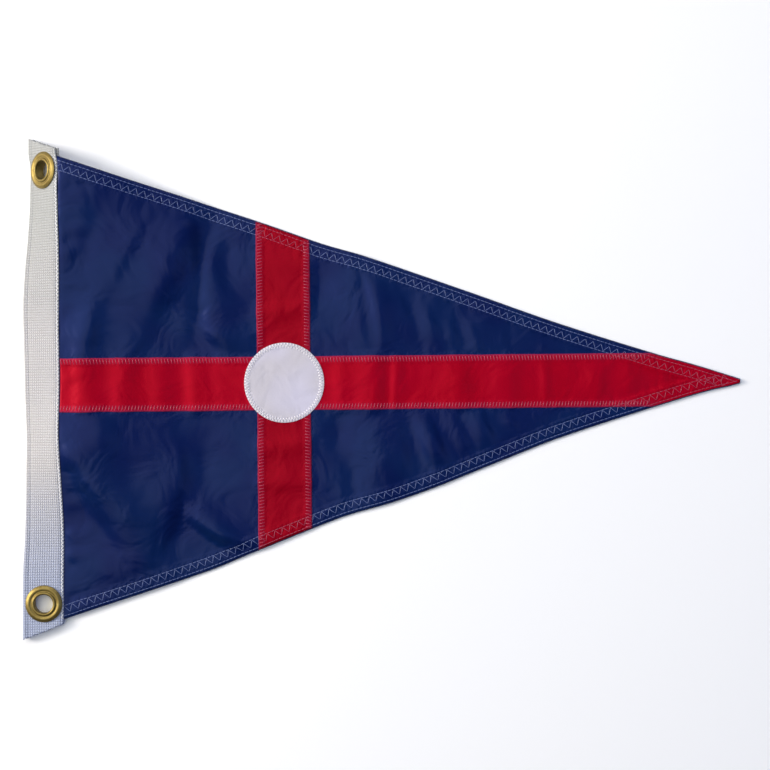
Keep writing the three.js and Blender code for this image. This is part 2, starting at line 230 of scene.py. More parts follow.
# Where the plan's origin lies in the row frame, from faces that the model cuts square
PLAN_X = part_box("field")[1].x / MM - TIP_X
PLAN_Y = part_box("arm_upper")[0].y / MM - (BAND_Y + BAND_WIDTH / 2 + GAP)


def linear(code):
    """An sRGB hex colour as linear red, green, blue and alpha."""
    channels = [int(code.lstrip("#")[i : i + 2], 16) / 255 for i in (0, 2, 4)]
    return tuple(c / 12.92 if c <= 0.04045 else ((c + 0.055) / 1.055) ** 2.4 for c in channels) + (1.0,)


def read_table(rows, at, column="value"):
    """A table's value at each place, by a smooth curve through its rows that is level at highs and lows."""
    keys = np.array([row.at for row in rows], float)
    values = np.array([getattr(row, column) for row in rows], float)
    at = np.clip(np.asarray(at, float), keys[0], keys[-1])
    secant = np.diff(values) / np.diff(keys)
    slopes = np.zeros(len(rows))
    same_way = secant[:-1] * secant[1:] > 0
    slopes[1:-1] = np.where(same_way, (secant[:-1] + secant[1:]) / 2, 0)
    low = np.clip(np.searchsorted(keys, at, side="right") - 1, 0, len(rows) - 2)
    span = keys[low + 1] - keys[low]
    t = (at - keys[low]) / span
    smooth = t * t * (3 - 2 * t)
    bulge = t * (1 - t) * ((1 - t) * slopes[low] - t * slopes[low + 1]) * span
    return values[low] + (values[low + 1] - values[low]) * smooth + bulge


def seam_x(y):
    """The plan line of the webbing's edge: straight from the hoist's foot to its top, and a bow off it."""
    share = (y - SEAM_FOOT[1]) / (SEAM_TOP[1] - SEAM_FOOT[1])
    return SEAM_FOOT[0] + (SEAM_TOP[0] - SEAM_FOOT[0]) * share + read_table(HEADING_OFF, y)


def webbing_slope(y):
    """The webbing's tilt in radians, and the height of its free edge: its fold's, and its slope's rise."""
    tilt = np.radians(read_table(HEADING_LIES, y, "tilt"))
    return tilt, read_table(HEADING_LIES, y, "fold") + HEADING_WIDTH * np.sin(tilt)


def edge_y(corner, tip_y, bow, x, inset=0.0):
    """A long edge: the straight line from its corner to the tip, moved in by its bow and by inset."""
    slope = (tip_y - corner[1]) / (TIP_X - corner[0])
    inward = read_table(bow, x - corner[0]) + inset * math.hypot(1, slope)
    return corner[1] + slope * (x - corner[0]) - math.copysign(1, corner[1]) * inward


def top_y(x, inset=0.0):
    """The upper long edge, moved in by inset."""
    return edge_y(SEAM_TOP, TIP_TOP, TOP_BOW, x, inset)


def foot_y(x, inset=0.0):
    """The lower long edge, moved in by inset."""
    return edge_y(SEAM_FOOT, TIP_FOOT, FOOT_BOW, x, inset)


def edge_distance(x, y):
    """How far a point lies inside the nearer long edge, measured square to it."""
    top_slope = math.hypot(1, (TIP_TOP - SEAM_TOP[1]) / (TIP_X - SEAM_TOP[0]))
    foot_slope = math.hypot(1, (TIP_FOOT - SEAM_FOOT[1]) / (TIP_X - SEAM_FOOT[0]))
    return np.minimum((top_y(x) - y) / top_slope, (y - foot_y(x)) / foot_slope)


def band_depth(x, y):
    """How far a point lies inside the red cross's outline: under nought outside it."""
    half = BAND_WIDTH / 2
    return np.maximum(half - np.abs(y - BAND_Y), half - np.abs(x - UPRIGHT_X))


def disc_depth(x, y):
    """How far a point lies inside the disc's rim."""
    return DISC_RADIUS - np.hypot(x - DISC_X, y - DISC_Y)


def rise(value, start, end):
    """A smooth step from 0 at start to 1 at end."""
    t = np.clip((value - start) / (end - start), 0, 1)
    return t * t * (3 - 2 * t)


def dip(value, middle, half_width):
    """A soft bell of height 1 over middle."""
    return np.exp(-(((value - middle) / half_width) ** 2))


def fold_sum(folds, x, y):
    """The folds' heights: each is a bell across its bent crest line, fading by a bell along it. A skew makes
    the bell's left side, as seen along the crest, that share wider than its right side."""
    total = np.zeros(np.broadcast(x, y).shape)
    for fold in folds:
        turn = math.radians(fold.turn)
        along = (x - fold.x) * math.cos(turn) + (y - fold.y) * math.sin(turn)
        across = (y - fold.y) * math.cos(turn) - (x - fold.x) * math.sin(turn)
        off = across - fold.bend * along**2
        wide = fold.wide * (1 + fold.skew * np.tanh(2 * off / fold.wide))
        total = total + fold.high * np.exp(-((along / fold.long) ** 2) - (off / wide) ** 2)
    return total


def wander(along, across, pitch, seed):
    """Uneven ripples of about that pitch: three sines whose lengths differ, bent a little across."""
    draw = np.random.default_rng(seed)
    total = 0
    for stretch, share in ((1.0, 0.5), (1.63, 0.3), (0.71, 0.35)):
        phase = draw.uniform(0, 2 * math.pi)
        lean = draw.uniform(-0.35, 0.35)
        total = total + share * np.sin(2 * math.pi * (along + lean * across) / (pitch * stretch) + phase)
    return total


def seam_puckers(x, y):
    """Small gathers that the sewing draws up: beside the webbing, inside the hems and along the bands."""
    past = x - seam_x(y)
    reach = 10 + 4 * wander(y, 0, 23, 21)
    hoist = 0.55 * np.exp(-((past - 5) / reach) ** 2) * wander(y, past, 16, 4)
    inside = edge_distance(x, y)
    hem = 0.1 * dip(inside, HEM_WIDTH + 1, 5) * wander(x, y, 8, 5)
    gather = 0.05 * (1 - rise(inside, 6, 11)) * wander(x, y, 5.5, 6)
    beside = -band_depth(x, y)
    along = np.where(np.abs(y - BAND_Y) < BAND_WIDTH, x, y)
    band = 0.09 * np.exp(-np.maximum(beside, 0) / 7) * rise(beside, -5, 0.5) * wander(along, beside, 8, 7)
    around = DISC_RADIUS * np.arctan2(y - DISC_Y, x - DISC_X)
    rim = 0.06 * dip(disc_depth(x, y), 2, 4) * wander(around, 0, 9, 9)
    return hoist + hem + gather + band + rim


def cloth_height(x, y):
    """The height of the cloth's underside over the surface: the webbing's slope, its fall to the surface
    behind a rounded crest, the main folds, and the creases and puckers of thin cloth."""
    tilt, seam_height = webbing_slope(y)
    past = x - seam_x(y)
    fall = 1 - rise(past, 0, HOIST_FALL)
    crest = ROUNDING * (1 + 0.35 * wander(y, 0, 15, 17))
    rounded = 0.12 * past * np.tan(tilt) * np.exp(-((past / crest) ** 2))
    in_field = 1 - rise(band_depth(x, y), -5, 1)
    creases = fold_sum(CREASES, x, y) * in_field + fold_sum(BAND_RIPPLES, x, y) * (1 - in_field)
    held = 0.3 + 0.7 * rise(edge_distance(x, y), 3, 20)
    look = bpy.context.scene.burgee_sizes.creases
    fine = look * (creases * held + seam_puckers(x, y)) * (1 - np.exp(-((past / 3.0) ** 2)))
    folds = fold_sum(FOLDS, x, y) * (1 - np.exp(-((past / 8.0) ** 2)))
    beyond = LYING_HEIGHT + (seam_height - LYING_HEIGHT) * fall + rounded + folds + fine
    return np.where(past <= 0, seam_height + past * np.tan(tilt), beyond)


def cloth_normal(x, y):
    """The cloth's unit normal, from the slopes of its height."""
    step = 0.4
    slope_x = (cloth_height(x + step, y) - cloth_height(x - step, y)) / (2 * step)
    slope_y = (cloth_height(x, y + step) - cloth_height(x, y - step)) / (2 * step)
    normal = np.stack([-slope_x, -slope_y, np.ones_like(slope_x)], axis=-1)
    return normal / np.linalg.norm(normal, axis=-1, keepdims=True)


def seam_relief(x, y):
    """The rise and dip of a face along its seams: hems are thicker, the cloth turns down at its edge, a row
    of stitches sinks in by a bell, and the red cloth lies lower where the field is cut away behind it."""
    edge = edge_distance(x, y)
    hem = 0.3 * (1 - rise(edge, 9.8, 10.8)) - 0.45 * (1 - rise(edge, -0.2, 1.2))
    upper = np.asarray(y) > 0
    rows = [np.where(upper, *pair) for pair in zip(HEM_ROWS["top"], HEM_ROWS["foot"])]
    sunk = -0.1 * sum(dip(edge, row, 0.7) for row in rows)
    inside = band_depth(x, y)
    single = -0.2 * rise(inside, SEAM_LAP - 1.2, SEAM_LAP + 0.8) * rise(edge, HEM_WIDTH, HEM_WIDTH + 2)
    return hem + sunk + single * rise(-disc_depth(x, y), -1, 1)


def to_row_frame(points):
    """Plan millimetres to the row frame's metres. Nothing sinks into the surface that the burgee lies on."""
    points[..., 2] = np.maximum(points[..., 2], LOWEST)
    return (points + np.array([PLAN_X, PLAN_Y, 0.0])) * MM


def lay(x, y, level, relief=True):
    """A point's place: over the plan point, its level out along the cloth's normal."""
    x, y, level = np.broadcast_arrays(*(np.asarray(v, float) for v in (x, y, level)))
    if relief:
        level = level + seam_relief(x, y)
    base = np.stack([x, y, cloth_height(x, y)], axis=-1)
    return to_row_frame(base + cloth_normal(x, y) * level[..., None])


def tape_normal(y):
    """The heading's own unit normal, from its tilt."""
    tilt = webbing_slope(y)[0]
    return np.stack([-np.sin(tilt), np.zeros_like(tilt), np.cos(tilt)], axis=-1)


def tape_face(from_fold):
    """The level of the tape's face: it thins to a pressed selvage at its free edge."""
    return WEBBING_FRONT - SELVAGE_DROP * rise(from_fold, HEADING_WIDTH - 3.2, HEADING_WIDTH - 0.3)


def lay_webbing(from_fold, y, level):
    """A point of the webbing: its distance from the free edge runs down the heading's own slope."""
    from_fold, y, level = np.broadcast_arrays(*(np.asarray(v, float) for v in (from_fold, y, level)))
    tilt, seam_height = webbing_slope(y)
    down = (HEADING_WIDTH - from_fold) * read_table(HEADING_LIES, y, "wide")
    place = np.stack([seam_x(y) - down * np.cos(tilt), y, seam_height - down * np.sin(tilt)], axis=-1)
    return to_row_frame(place + tape_normal(y) * level[..., None])


def grid_faces(rows, columns, closed=False):
    """Quads over a grid of rows by columns, the last column joined to the first where it is closed."""
    across = columns if closed else columns - 1
    i, j = np.meshgrid(np.arange(rows - 1), np.arange(across), indexing="ij")
    following = (j + 1) % columns
    row, next_row = i * columns, (i + 1) * columns
    return np.stack([row + j, row + following, next_row + following, next_row + j], axis=-1).reshape(-1, 4)


def new_piece(name, points, *faces):
    """A mesh object at the origin from an array of points and arrays of faces."""
    mesh = bpy.data.meshes.new(name)
    corners = [face for group in faces for face in group.tolist()]
    mesh.from_pydata(points.reshape(-1, 3).tolist(), [], corners)
    mesh.validate()
    piece = bpy.data.objects.new(name, mesh)
    bpy.context.scene.collection.objects.link(piece)
    return piece


def vertex_array(mesh):
    """The places of a mesh's points, one a row."""
    flat = np.zeros(len(mesh.vertices) * 3, np.float32)
    mesh.vertices.foreach_get("co", flat)
    return flat.reshape(-1, 3).astype(float)


def apply_modifiers(piece):
    """The piece's mesh becomes what its modifiers show, and they are removed."""
    shown = bpy.data.meshes.new_from_object(piece.evaluated_get(bpy.context.evaluated_depsgraph_get()))
    old = piece.data
    piece.modifiers.clear()
    piece.data = shown
    shown.name = piece.name
    bpy.data.meshes.remove(old)


def thicken(piece, thickness):
    """Gives a flat sheet its thickness downwards."""
    wall = piece.modifiers.new("thickness", "SOLIDIFY")
    wall.thickness = thickness
    wall.offset = -1
    apply_modifiers(piece)


def move_points(piece, places):
    """Puts each of the piece's points at its new place."""
    piece.data.vertices.foreach_set("co", places.astype(np.float32).ravel())
    piece.data.update()


def prism(name, outline, reach=9.0):
    """An upright prism over a plan outline, from reach below the flat sheet to reach above it, for a cut."""
    outline = np.asarray(outline, float)
    count = len(outline)
    low, high = [np.column_stack([outline, np.full(count, level)]) for level in (-reach, reach)]
    first = np.arange(count)
    second = (first + 1) % count
    sides = np.stack([first, second, count + second, count + first], axis=-1)
    caps = np.stack([first[::-1], count + first])
    return new_piece(name, np.concatenate([low, high]), sides, caps)


def cut_out(piece, outlines):
    """Cuts each plan outline through the flat piece."""
    for outline in outlines:
        cutter = prism("cutter", outline)
        cut = piece.modifiers.new("cut", "BOOLEAN")
        cut.operation = "DIFFERENCE"
        cut.solver = "EXACT"
        cut.object = cutter
        apply_modifiers(piece)
        bpy.data.objects.remove(cutter)


def circle(x, y, radius, count=96):
    """Points evenly round a plan circle."""
    angle = np.linspace(0, 2 * math.pi, count, endpoint=False)
    return np.stack([x + radius * np.cos(angle), y + radius * np.sin(angle)], axis=-1)


def flat_area(piece):
    """The area of one side of a thin flat piece, in square metres."""
    areas = np.zeros(len(piece.data.polygons), np.float32)
    piece.data.polygons.foreach_get("area", areas)
    return float(areas.sum()) / 2 * MM * MM


def mark(piece, name, values):
    """Gives each vertex a number that the material reads."""
    layer = piece.data.attributes.new(name, "FLOAT", "POINT")
    layer.data.foreach_set("value", np.broadcast_to(values, len(piece.data.vertices)).astype(np.float32))


def gathering(x, y):
    """How much the sewing gathers the cloth: all through the hems, and in a strip along each band's edge."""
    hem = 1 - rise(edge_distance(x, y), 8.5, 12)
    return np.maximum(hem, 0.8 * dip(band_depth(x, y), 1.5, 4))


def lay_cloth(piece, material, node, marks):
    """Lays a flat sheet over the folds, its z as its level, after giving it its marks, each a number or a
    function of the place. Returns the area of one of its faces."""
    area = flat_area(piece)
    x, y, level = vertex_array(piece.data).T
    for name, value in marks.items():
        mark(piece, name, value(x, y) if callable(value) else value)
    move_points(piece, lay(x, y, level))
    finish_piece(piece, material, [node])
    return area


def finish_piece(piece, material, replaced=()):
    """Gives a piece its material, its body and the solids that it stands for."""
    piece.data.materials.clear()
    piece.data.materials.append(material)
    piece.data.polygons.foreach_set("use_smooth", np.full(len(piece.data.polygons), True))
    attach(piece, "root")
    if replaced:
        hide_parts(*replaced)


def add_node(tree, kind, output, inputs=(), **settings):
    """One shader node's named output: its settings go by name, and its inputs by name or number, each a
    fixed value or the output that feeds it."""
    node = tree.nodes.new("ShaderNode" + kind)
    for name, value in settings.items():
        setattr(node, name, value)
    for name, value in dict(inputs).items():
        if isinstance(value, bpy.types.NodeSocket):
            tree.links.new(value, node.inputs[name])
        else:
            node.inputs[name].default_value = value
    return node.outputs[output]


def new_material(name, base, roughness, metallic=0.0, **fixed):
    """A material with one Principled shader, its constant values set on its own sockets."""
    material = bpy.data.materials.new(name)
    material.use_nodes = True
    tree = material.node_tree
    shader = tree.nodes["Principled BSDF"]
    values = {"Base Color": base, "Roughness": roughness, "Metallic": metallic, **fixed}
    for socket, value in values.items():
        shader.inputs[socket.replace("_", " ")].default_value = value
    return material, tree, shader


def nylon_material(name, base, drift, sewn, satin, satin_level, polish):
    """Filament nylon taffeta: dyed filaments throw back a broad gloss in their own colour, and the pressed
    face adds a narrower one in the light's colour."""
    material, tree, shader = new_material(
        name,
        base,
        0.5,
        IOR=1.53,
        Specular_IOR_Level=satin_level,
        Specular_Tint=satin,
        Coat_Weight=polish,
        Coat_Roughness=0.28,
    )
    place = add_node(tree, "TexCoord", "Object")
    # Its colour drifts a little at random, in patches 20 to 40 mm across
    cloud = add_node(tree, "TexNoise", "Fac", {"Vector": place, "Scale": 1 / (32 * MM), "Detail": 1.0})
    ground = add_node(tree, "MapRange", "Result", {"Value": cloud, "From Min": 0.38, "From Max": 0.62})
    dyed = add_node(tree, "Mix", "Result", {"Factor": ground, "A": base, "B": drift}, data_type="RGBA")
    # At each sewn edge the colour moves to its sewn shade: on the red this is the clear thread's lighter
    # tint, and on the white disc it is painted shade between the stitches
    edge = add_node(tree, "Attribute", "Fac", attribute_name="sewn")
    tint = add_node(tree, "Mix", "Result", {"Factor": edge, "A": dyed, "B": sewn}, data_type="RGBA")
    # Painted shade: the red cut across its grain, on the uprights, is made a third darker, for the weaker
    # sheen its weave gives from above
    cross_cut = add_node(tree, "Attribute", "Fac", attribute_name="cross_cut")
    painted_grain_shade = add_node(tree, "MapRange", "Result", {"Value": cross_cut, "To Min": 1.0, "To Max": 0.68})
    both = {"Factor": 1.0, "A": tint, "B": painted_grain_shade}
    shade = add_node(tree, "Mix", "Result", both, data_type="RGBA", blend_type="MULTIPLY")
    tree.links.new(shade, shader.inputs["Base Color"])
    # Yarns are 0.3 mm apart: they are drawn 0.9 mm apart, so that the weave still shows
    scale = 0.314 / (0.9 * MM)
    yarns = {"Vector": place, "Scale": scale, "Distortion": 0.6, "Detail": 1.0, "Detail Scale": 1.0}
    waves = [add_node(tree, "TexWave", "Fac", yarns, bands_direction=axis) for axis in ("X", "Y")]
    weave = add_node(tree, "Math", "Value", dict(enumerate(waves)), operation="ADD")
    woven = add_node(tree, "Bump", "Normal", {"Height": weave, "Strength": 0.05, "Distance": 0.1 * MM})
    # Sewing gathers the cloth of the hems and seams in crinkles 2 to 4 mm across
    crinkles = {"Vector": place, "Scale": 1 / (3.2 * MM), "Detail": 1.0, "Distortion": 0.8}
    crinkle = add_node(tree, "TexNoise", "Fac", crinkles)
    centred = add_node(tree, "Math", "Value", {0: crinkle, 1: 0.5}, operation="SUBTRACT")
    gathered = add_node(tree, "Attribute", "Fac", attribute_name="gathered")
    gathers = add_node(tree, "Math", "Value", {0: centred, 1: gathered}, operation="MULTIPLY")
    pulled = {"Height": gathers, "Normal": woven, "Strength": 1.0, "Distance": 0.6 * MM}
    crinkled = add_node(tree, "Bump", "Normal", pulled)
    # Handling leaves faint rumples 10 to 20 mm across
    rumples = {"Vector": place, "Scale": 1 / (26 * MM), "Detail": 2.0, "Roughness": 0.5, "Distortion": 1.2}
    rumple = add_node(tree, "TexNoise", "Fac", rumples)
    handled = {"Height": rumple, "Normal": crinkled, "Strength": 0.5, "Distance": 2.2 * MM}
    relief = add_node(tree, "Bump", "Normal", handled)
    for socket in ("Normal", "Coat Normal"):
        tree.links.new(relief, shader.inputs[socket])
    return material


def webbing_material():
    """Spun polyester heading tape, woven plain and heavy: off-white, matt, with rounded yarn ends."""
    ground = colour("webbing")
    material, tree, shader = new_material("woven_polyester_tape", ground, 0.82, IOR=1.5)
    cloth = add_node(tree, "UVMap", "UV", uv_map="weave")
    girth, along = [add_node(tree, "SeparateXYZ", axis, {"Vector": cloth}) for axis in ("X", "Y")]
    # A plain weave: the product of the two sines is up where the weft shows, down where the warp does
    yarn_pitch = 1.65
    sines = []
    for part in (girth, along):
        angle = add_node(tree, "Math", "Value", {0: part, 1: math.pi / yarn_pitch}, operation="MULTIPLY")
        sines.append(add_node(tree, "Math", "Value", {0: angle}, operation="SINE"))
    product = add_node(tree, "Math", "Value", dict(enumerate(sines)), operation="MULTIPLY")
    size = add_node(tree, "Math", "Value", {0: product}, operation="ABSOLUTE")
    fibres = {"Vector": cloth, "Scale": 1.6, "Detail": 4.0, "Roughness": 0.7}
    fuzz = add_node(tree, "TexNoise", "Fac", fibres)
    height = add_node(tree, "Math", "Value", {0: fuzz, 1: 0.35, 2: size}, operation="MULTIPLY_ADD")
    bump = add_node(tree, "Bump", "Normal", {"Height": height, "Strength": 0.9, "Distance": 0.5 * MM})
    tree.links.new(bump, shader.inputs["Normal"])
    # Painted shade darkens the gaps between yarns, with a little grime
    gap_shade_and_grime = {"Value": height, "From Min": 0.0, "From Max": 0.7, "To Min": 0.76, "To Max": 1.04}
    shade = add_node(tree, "MapRange", "Result", gap_shade_and_grime)
    # Painted shade: the tape is made bluer and darker towards its foot, and a little darker and greyer
    # towards its top
    for start, end, painted_tint in ((-50, -135, "#a9b1c9"), (30, 110, "#aeafae")):
        reach = add_node(tree, "MapRange", "Result", {"Value": along, "From Min": start, "From Max": end})
        painted_shading = {"Factor": reach, "A": ground, "B": linear(painted_tint)}
        ground = add_node(tree, "Mix", "Result", painted_shading, data_type="RGBA")
    both = {"Factor": 1.0, "A": ground, "B": shade}
    tint = add_node(tree, "Mix", "Result", both, data_type="RGBA", blend_type="MULTIPLY")
    tree.links.new(tint, shader.inputs["Base Color"])
    return material


def brass_material():
    """Rolled brass, stamped and tumbled: yellow, duller and browner in small spots at random."""
    base = colour("brass")
    material, tree, shader = new_material("rolled_brass", base, 0.4, 1.0)
    place = add_node(tree, "TexCoord", "Object")
    spots = {"Vector": place, "Scale": 1 / (3 * MM), "Detail": 5.0, "Roughness": 0.6}
    marks = add_node(tree, "TexNoise", "Fac", spots)
    browned = {"Factor": marks, "A": base, "B": linear("#735f30")}
    tarnish = add_node(tree, "Mix", "Result", browned, data_type="RGBA")
    tree.links.new(tarnish, shader.inputs["Base Color"])
    dulled = {"Value": marks, "From Min": 0.3, "From Max": 0.7, "To Min": 0.4, "To Max": 0.55}
    tree.links.new(add_node(tree, "MapRange", "Result", dulled), shader.inputs["Roughness"])
    scratches = add_node(tree, "TexNoise", "Fac", {"Vector": place, "Scale": 1 / (0.8 * MM), "Detail": 3.0})
    bump = add_node(tree, "Bump", "Normal", {"Height": scratches, "Strength": 0.12, "Distance": 0.05 * MM})
    tree.links.new(bump, shader.inputs["Normal"])
    return material


def thread_material(name, plain, on_red):
    """Clear nylon monofilament: it takes up the colour under it, with a bright line of gloss."""
    material, tree, shader = new_material(name, plain, 0.3, IOR=1.53)
    below = add_node(tree, "Attribute", "Fac", attribute_name="over_red")
    tint = add_node(tree, "Mix", "Result", {"Factor": below, "A": plain, "B": on_red}, data_type="RGBA")
    tree.links.new(tint, shader.inputs["Base Color"])
    place = add_node(tree, "TexCoord", "Object")
    twist = add_node(tree, "TexNoise", "Fac", {"Vector": place, "Scale": 1 / (0.7 * MM), "Detail": 2.0})
    glossed = {"Value": twist, "From Min": 0.3, "From Max": 0.7, "To Min": 0.22, "To Max": 0.45}
    tree.links.new(add_node(tree, "MapRange", "Result", glossed), shader.inputs["Roughness"])
    return material


def face_level(x, y):
    """The level of the uppermost cloth's face at a plan point."""
    on_arm = band_depth(x, y) > 0
    on_disc = disc_depth(x, y) > 0
    return np.where(on_disc, DISC_FACE, np.where(on_arm, ARM_FACE, FIELD_FACE))


def back_level(x, y):
    """The level of the field's back: that of its turned hem along the long edges, and its own elsewhere."""
    own = FIELD_FACE - bpy.context.scene.burgee_sizes.cloth / MM
    return np.where(edge_distance(x, y) < HEM_WIDTH, HEM_BACK, own)


def between(x, low, high):
    """A plan outline that runs out along y = low and back along y = high."""
    return np.concatenate([np.stack([x, low], axis=-1), np.stack([x, high], axis=-1)[::-1]])


def tubes(name, line, normal, radius, sides):
    """A tube along each line of points: a ring at every point, square to the line, and a cap on each end."""
    direction = np.gradient(line, axis=1)
    direction /= np.linalg.norm(direction, axis=-1, keepdims=True)
    side = np.cross(direction, normal)
    side /= np.linalg.norm(side, axis=-1, keepdims=True)
    up = np.cross(side, direction)
    angle = np.linspace(0, 2 * math.pi, sides, endpoint=False)
    ring = side[:, :, None] * np.cos(angle)[:, None] + up[:, :, None] * np.sin(angle)[:, None]
    points = line[:, :, None] + radius[:, None, None, None] * MM * ring
    points[..., 2] = np.maximum(points[..., 2], LOWEST * MM)
    count, rings = line.shape[:2]
    offsets = (np.arange(count) * rings * sides)[:, None, None]
    quads = (grid_faces(rings, sides, closed=True) + offsets).reshape(-1, 4)
    first = np.arange(sides)[::-1]
    last = (rings - 1) * sides + np.arange(sides)
    caps = (np.stack([first, last]) + offsets).reshape(-1, sides)
    return new_piece(name, points, quads[:, ::-1], caps[:, ::-1])


def thread_tubes(name, starts, ends, radius, on_tape=False):
    """Stitches: each is a tube from start to end that rises from the cloth, runs over it and dives in.

    A point of its line is start + t (end - start) in the plan. Its level is the face's, with the seam's
    relief at the stitch's middle, and a lift of most of a radius that drops away at both ends. The lower
    thread shows on the back in the same way, except under the tape."""
    t = np.array([0.0, 0.07, 0.5, 0.93, 1.0])
    lift_in_radii = np.array([-1.1, 0.45, 0.75, 0.45, -1.1])
    sides = 5
    radius = np.broadcast_to(radius, len(starts))
    face = np.ones((len(starts), 1))
    if not on_tape:
        starts, ends = np.tile(starts, (2, 1)), np.tile(ends, (2, 1))
        radius = np.tile(radius, 2)
        face = np.concatenate([face, -face])
    lift = radius[:, None] * lift_in_radii
    x, y = np.moveaxis(starts[:, None] + (ends - starts)[:, None] * t[:, None], -1, 0)
    if on_tape:
        line = lay_webbing(x, y, tape_face(x) + lift)
        normal = tape_normal(y)
    else:
        relief = seam_relief(x, y)
        middle = relief[:, 2:3]
        level = face_level(x, y) + np.maximum(relief, middle - 0.05)
        level = np.where(face > 0, level, back_level(x, y) + relief)
        line = lay(x, y, level + face * lift, relief=False)
        normal = cloth_normal(x, y)
    piece = tubes(name, line, normal, radius, sides)
    mark(piece, "over_red", np.repeat(band_depth(x, y).ravel() > 0, sides))
    return piece


def zigzag(line, pitch, low, high, lean=0.0):
    """Starts and ends of a zigzag's legs, its points taken by turns at two distances off a line. A lean of
    0.3 makes every other leg that share of the pitch shorter along the line, so it stands steeper."""
    turns = max(1, int(round(line.length / pitch)))
    index = np.arange(2 * turns + 1)
    s = line.length * (index / (2 * turns) - np.where(index % 2 == 1, lean / (2 * turns), 0))
    off = np.where(index % 2 == 0, low, high)
    points = line.place(s, off)
    return points[:-1], points[1:]


def running(line, stitch, off):
    """Starts and ends of straight stitches along a line, with a small gap between them."""
    count = max(1, int(round(line.length / stitch)))
    s = np.linspace(0, line.length, count + 1)
    gap = 0.04 * stitch
    return line.place(s[:-1] + gap, off), line.place(s[1:] - gap, off)


class SeamLine:
    """A seam's line in the plan, by distance along it, with an inward direction to its side."""

    def __init__(self, points, inward):
        self.points = np.asarray(points, float)
        steps = np.linalg.norm(np.diff(self.points, axis=0), axis=1)
        self.at = np.concatenate([[0], np.cumsum(steps)])
        self.length = self.at[-1]
        self.inward = inward

    def place(self, s, off):
        """The plan point at each distance s along the line, moved off it to its inner side."""
        x = np.interp(s, self.at, self.points[:, 0])
        y = np.interp(s, self.at, self.points[:, 1])
        step = 0.5
        ahead = [np.interp(s + step, self.at, self.points[:, i]) for i in (0, 1)]
        behind = [np.interp(s - step, self.at, self.points[:, i]) for i in (0, 1)]
        direction = np.stack([ahead[0] - behind[0], ahead[1] - behind[1]], axis=-1)
        direction /= np.linalg.norm(direction, axis=-1, keepdims=True)
        side = np.stack([-direction[:, 1], direction[:, 0]], axis=-1) * self.inward
        return np.stack([x, y], axis=-1) + side * np.broadcast_to(off, x.shape)[:, None]


def hem_lines():
    """The two long edges as seam lines, from the webbing to the tip."""
    x = np.linspace(SEAM_FOOT[0] + 1.0, TIP_X - 1.5, 400)
    return {
        "top": SeamLine(np.stack([x, top_y(x)], axis=-1), -1),
        "foot": SeamLine(np.stack([x, foot_y(x)], axis=-1), 1),
    }


def band_lines():
    """Every edge of the red bands as a seam line, up to the disc, the webbing and the outer edge."""
    half = BAND_WIDTH / 2
    lines = []
    for side in (-1, 1):
        y = BAND_Y + side * half
        reach = math.sqrt(DISC_RADIUS**2 - (y - DISC_Y) ** 2)
        # The band's edge ends where the long edge, moved in by 1 mm, first crosses it
        x = np.linspace(100, TIP_X, 2000)
        edge = top_y(x, 1.0) if side > 0 else foot_y(x, 1.0)
        end = x[np.argmax((edge - y) * side < 0)]
        for low, high in ((seam_x(y) + 0.8, DISC_X - reach), (DISC_X + reach, end)):
            lines.append(SeamLine([[low, y], [high, y]], -side))
        x = UPRIGHT_X + side * half
        rise_y = math.sqrt(DISC_RADIUS**2 - (x - DISC_X) ** 2)
        lines.append(SeamLine([[x, DISC_Y + rise_y], [x, float(top_y(x, 0.8))]], side))
        lines.append(SeamLine([[x, float(foot_y(x, 0.8))], [x, DISC_Y - rise_y]], side))
    return lines


def disc_line():
    """The disc's rim as a seam line, once round."""
    rim = circle(DISC_X, DISC_Y, DISC_RADIUS, 360)
    return SeamLine(np.concatenate([rim, rim[:1]]), 1)


class BurgeeSizes(bpy.types.PropertyGroup):
    """Sizes of the cloth and its sewing that change the look and leave the burgee's outline alone."""

    cloth: bpy.props.FloatProperty(
        name="Cloth thickness", description="Thickness of the nylon", default=0.0002, unit="LENGTH"
    )
    creases: bpy.props.FloatProperty(
        name="Creases", description="How deep the small creases and puckers are", default=1.0, min=0, max=2
    )
    thread: bpy.props.FloatProperty(
        name="Thread radius", description="Half the thickness of the thread", default=0.00023, unit="LENGTH"
    )
    hem_pitch: bpy.props.FloatProperty(
        name="Hem zigzag", description="Length of one zigzag of the hem", default=0.0053, unit="LENGTH"
    )
    band_pitch: bpy.props.FloatProperty(
        name="Band zigzag", description="Length of one zigzag of the bands", default=0.002, unit="LENGTH"
    )
    stitch: bpy.props.FloatProperty(
        name="Straight stitch", description="Length of one straight stitch", default=0.0026, unit="LENGTH"
    )


class BurgeeColours(bpy.types.PropertyGroup):
    """Colours of the cloths, threads and brass."""

    navy: bpy.props.FloatVectorProperty(
        name="Navy", description="Nylon of the field", subtype="COLOR", default=linear("#01173f")[:3]
    )
    red: bpy.props.FloatVectorProperty(
        name="Red", description="Nylon of the cross", subtype="COLOR", default=linear("#94001b")[:3]
    )
    white: bpy.props.FloatVectorProperty(
        name="White", description="Nylon of the disc", subtype="COLOR", default=linear("#c8c4d4")[:3]
    )
    webbing: bpy.props.FloatVectorProperty(
        name="Webbing", description="Tape of the heading", subtype="COLOR", default=linear("#c5c2c3")[:3]
    )
    brass: bpy.props.FloatVectorProperty(
        name="Brass", description="Grommets and washers", subtype="COLOR", default=linear("#9c8a52")[:3]
    )
    thread: bpy.props.FloatVectorProperty(
        name="Thread", description="Thread over navy", subtype="COLOR", default=linear("#5c6b9b")[:3]
    )


def colour(name):
    """A colour of the property group as red, green, blue and alpha."""
    return tuple(getattr(bpy.context.scene.burgee_colours, name)) + (1.0,)


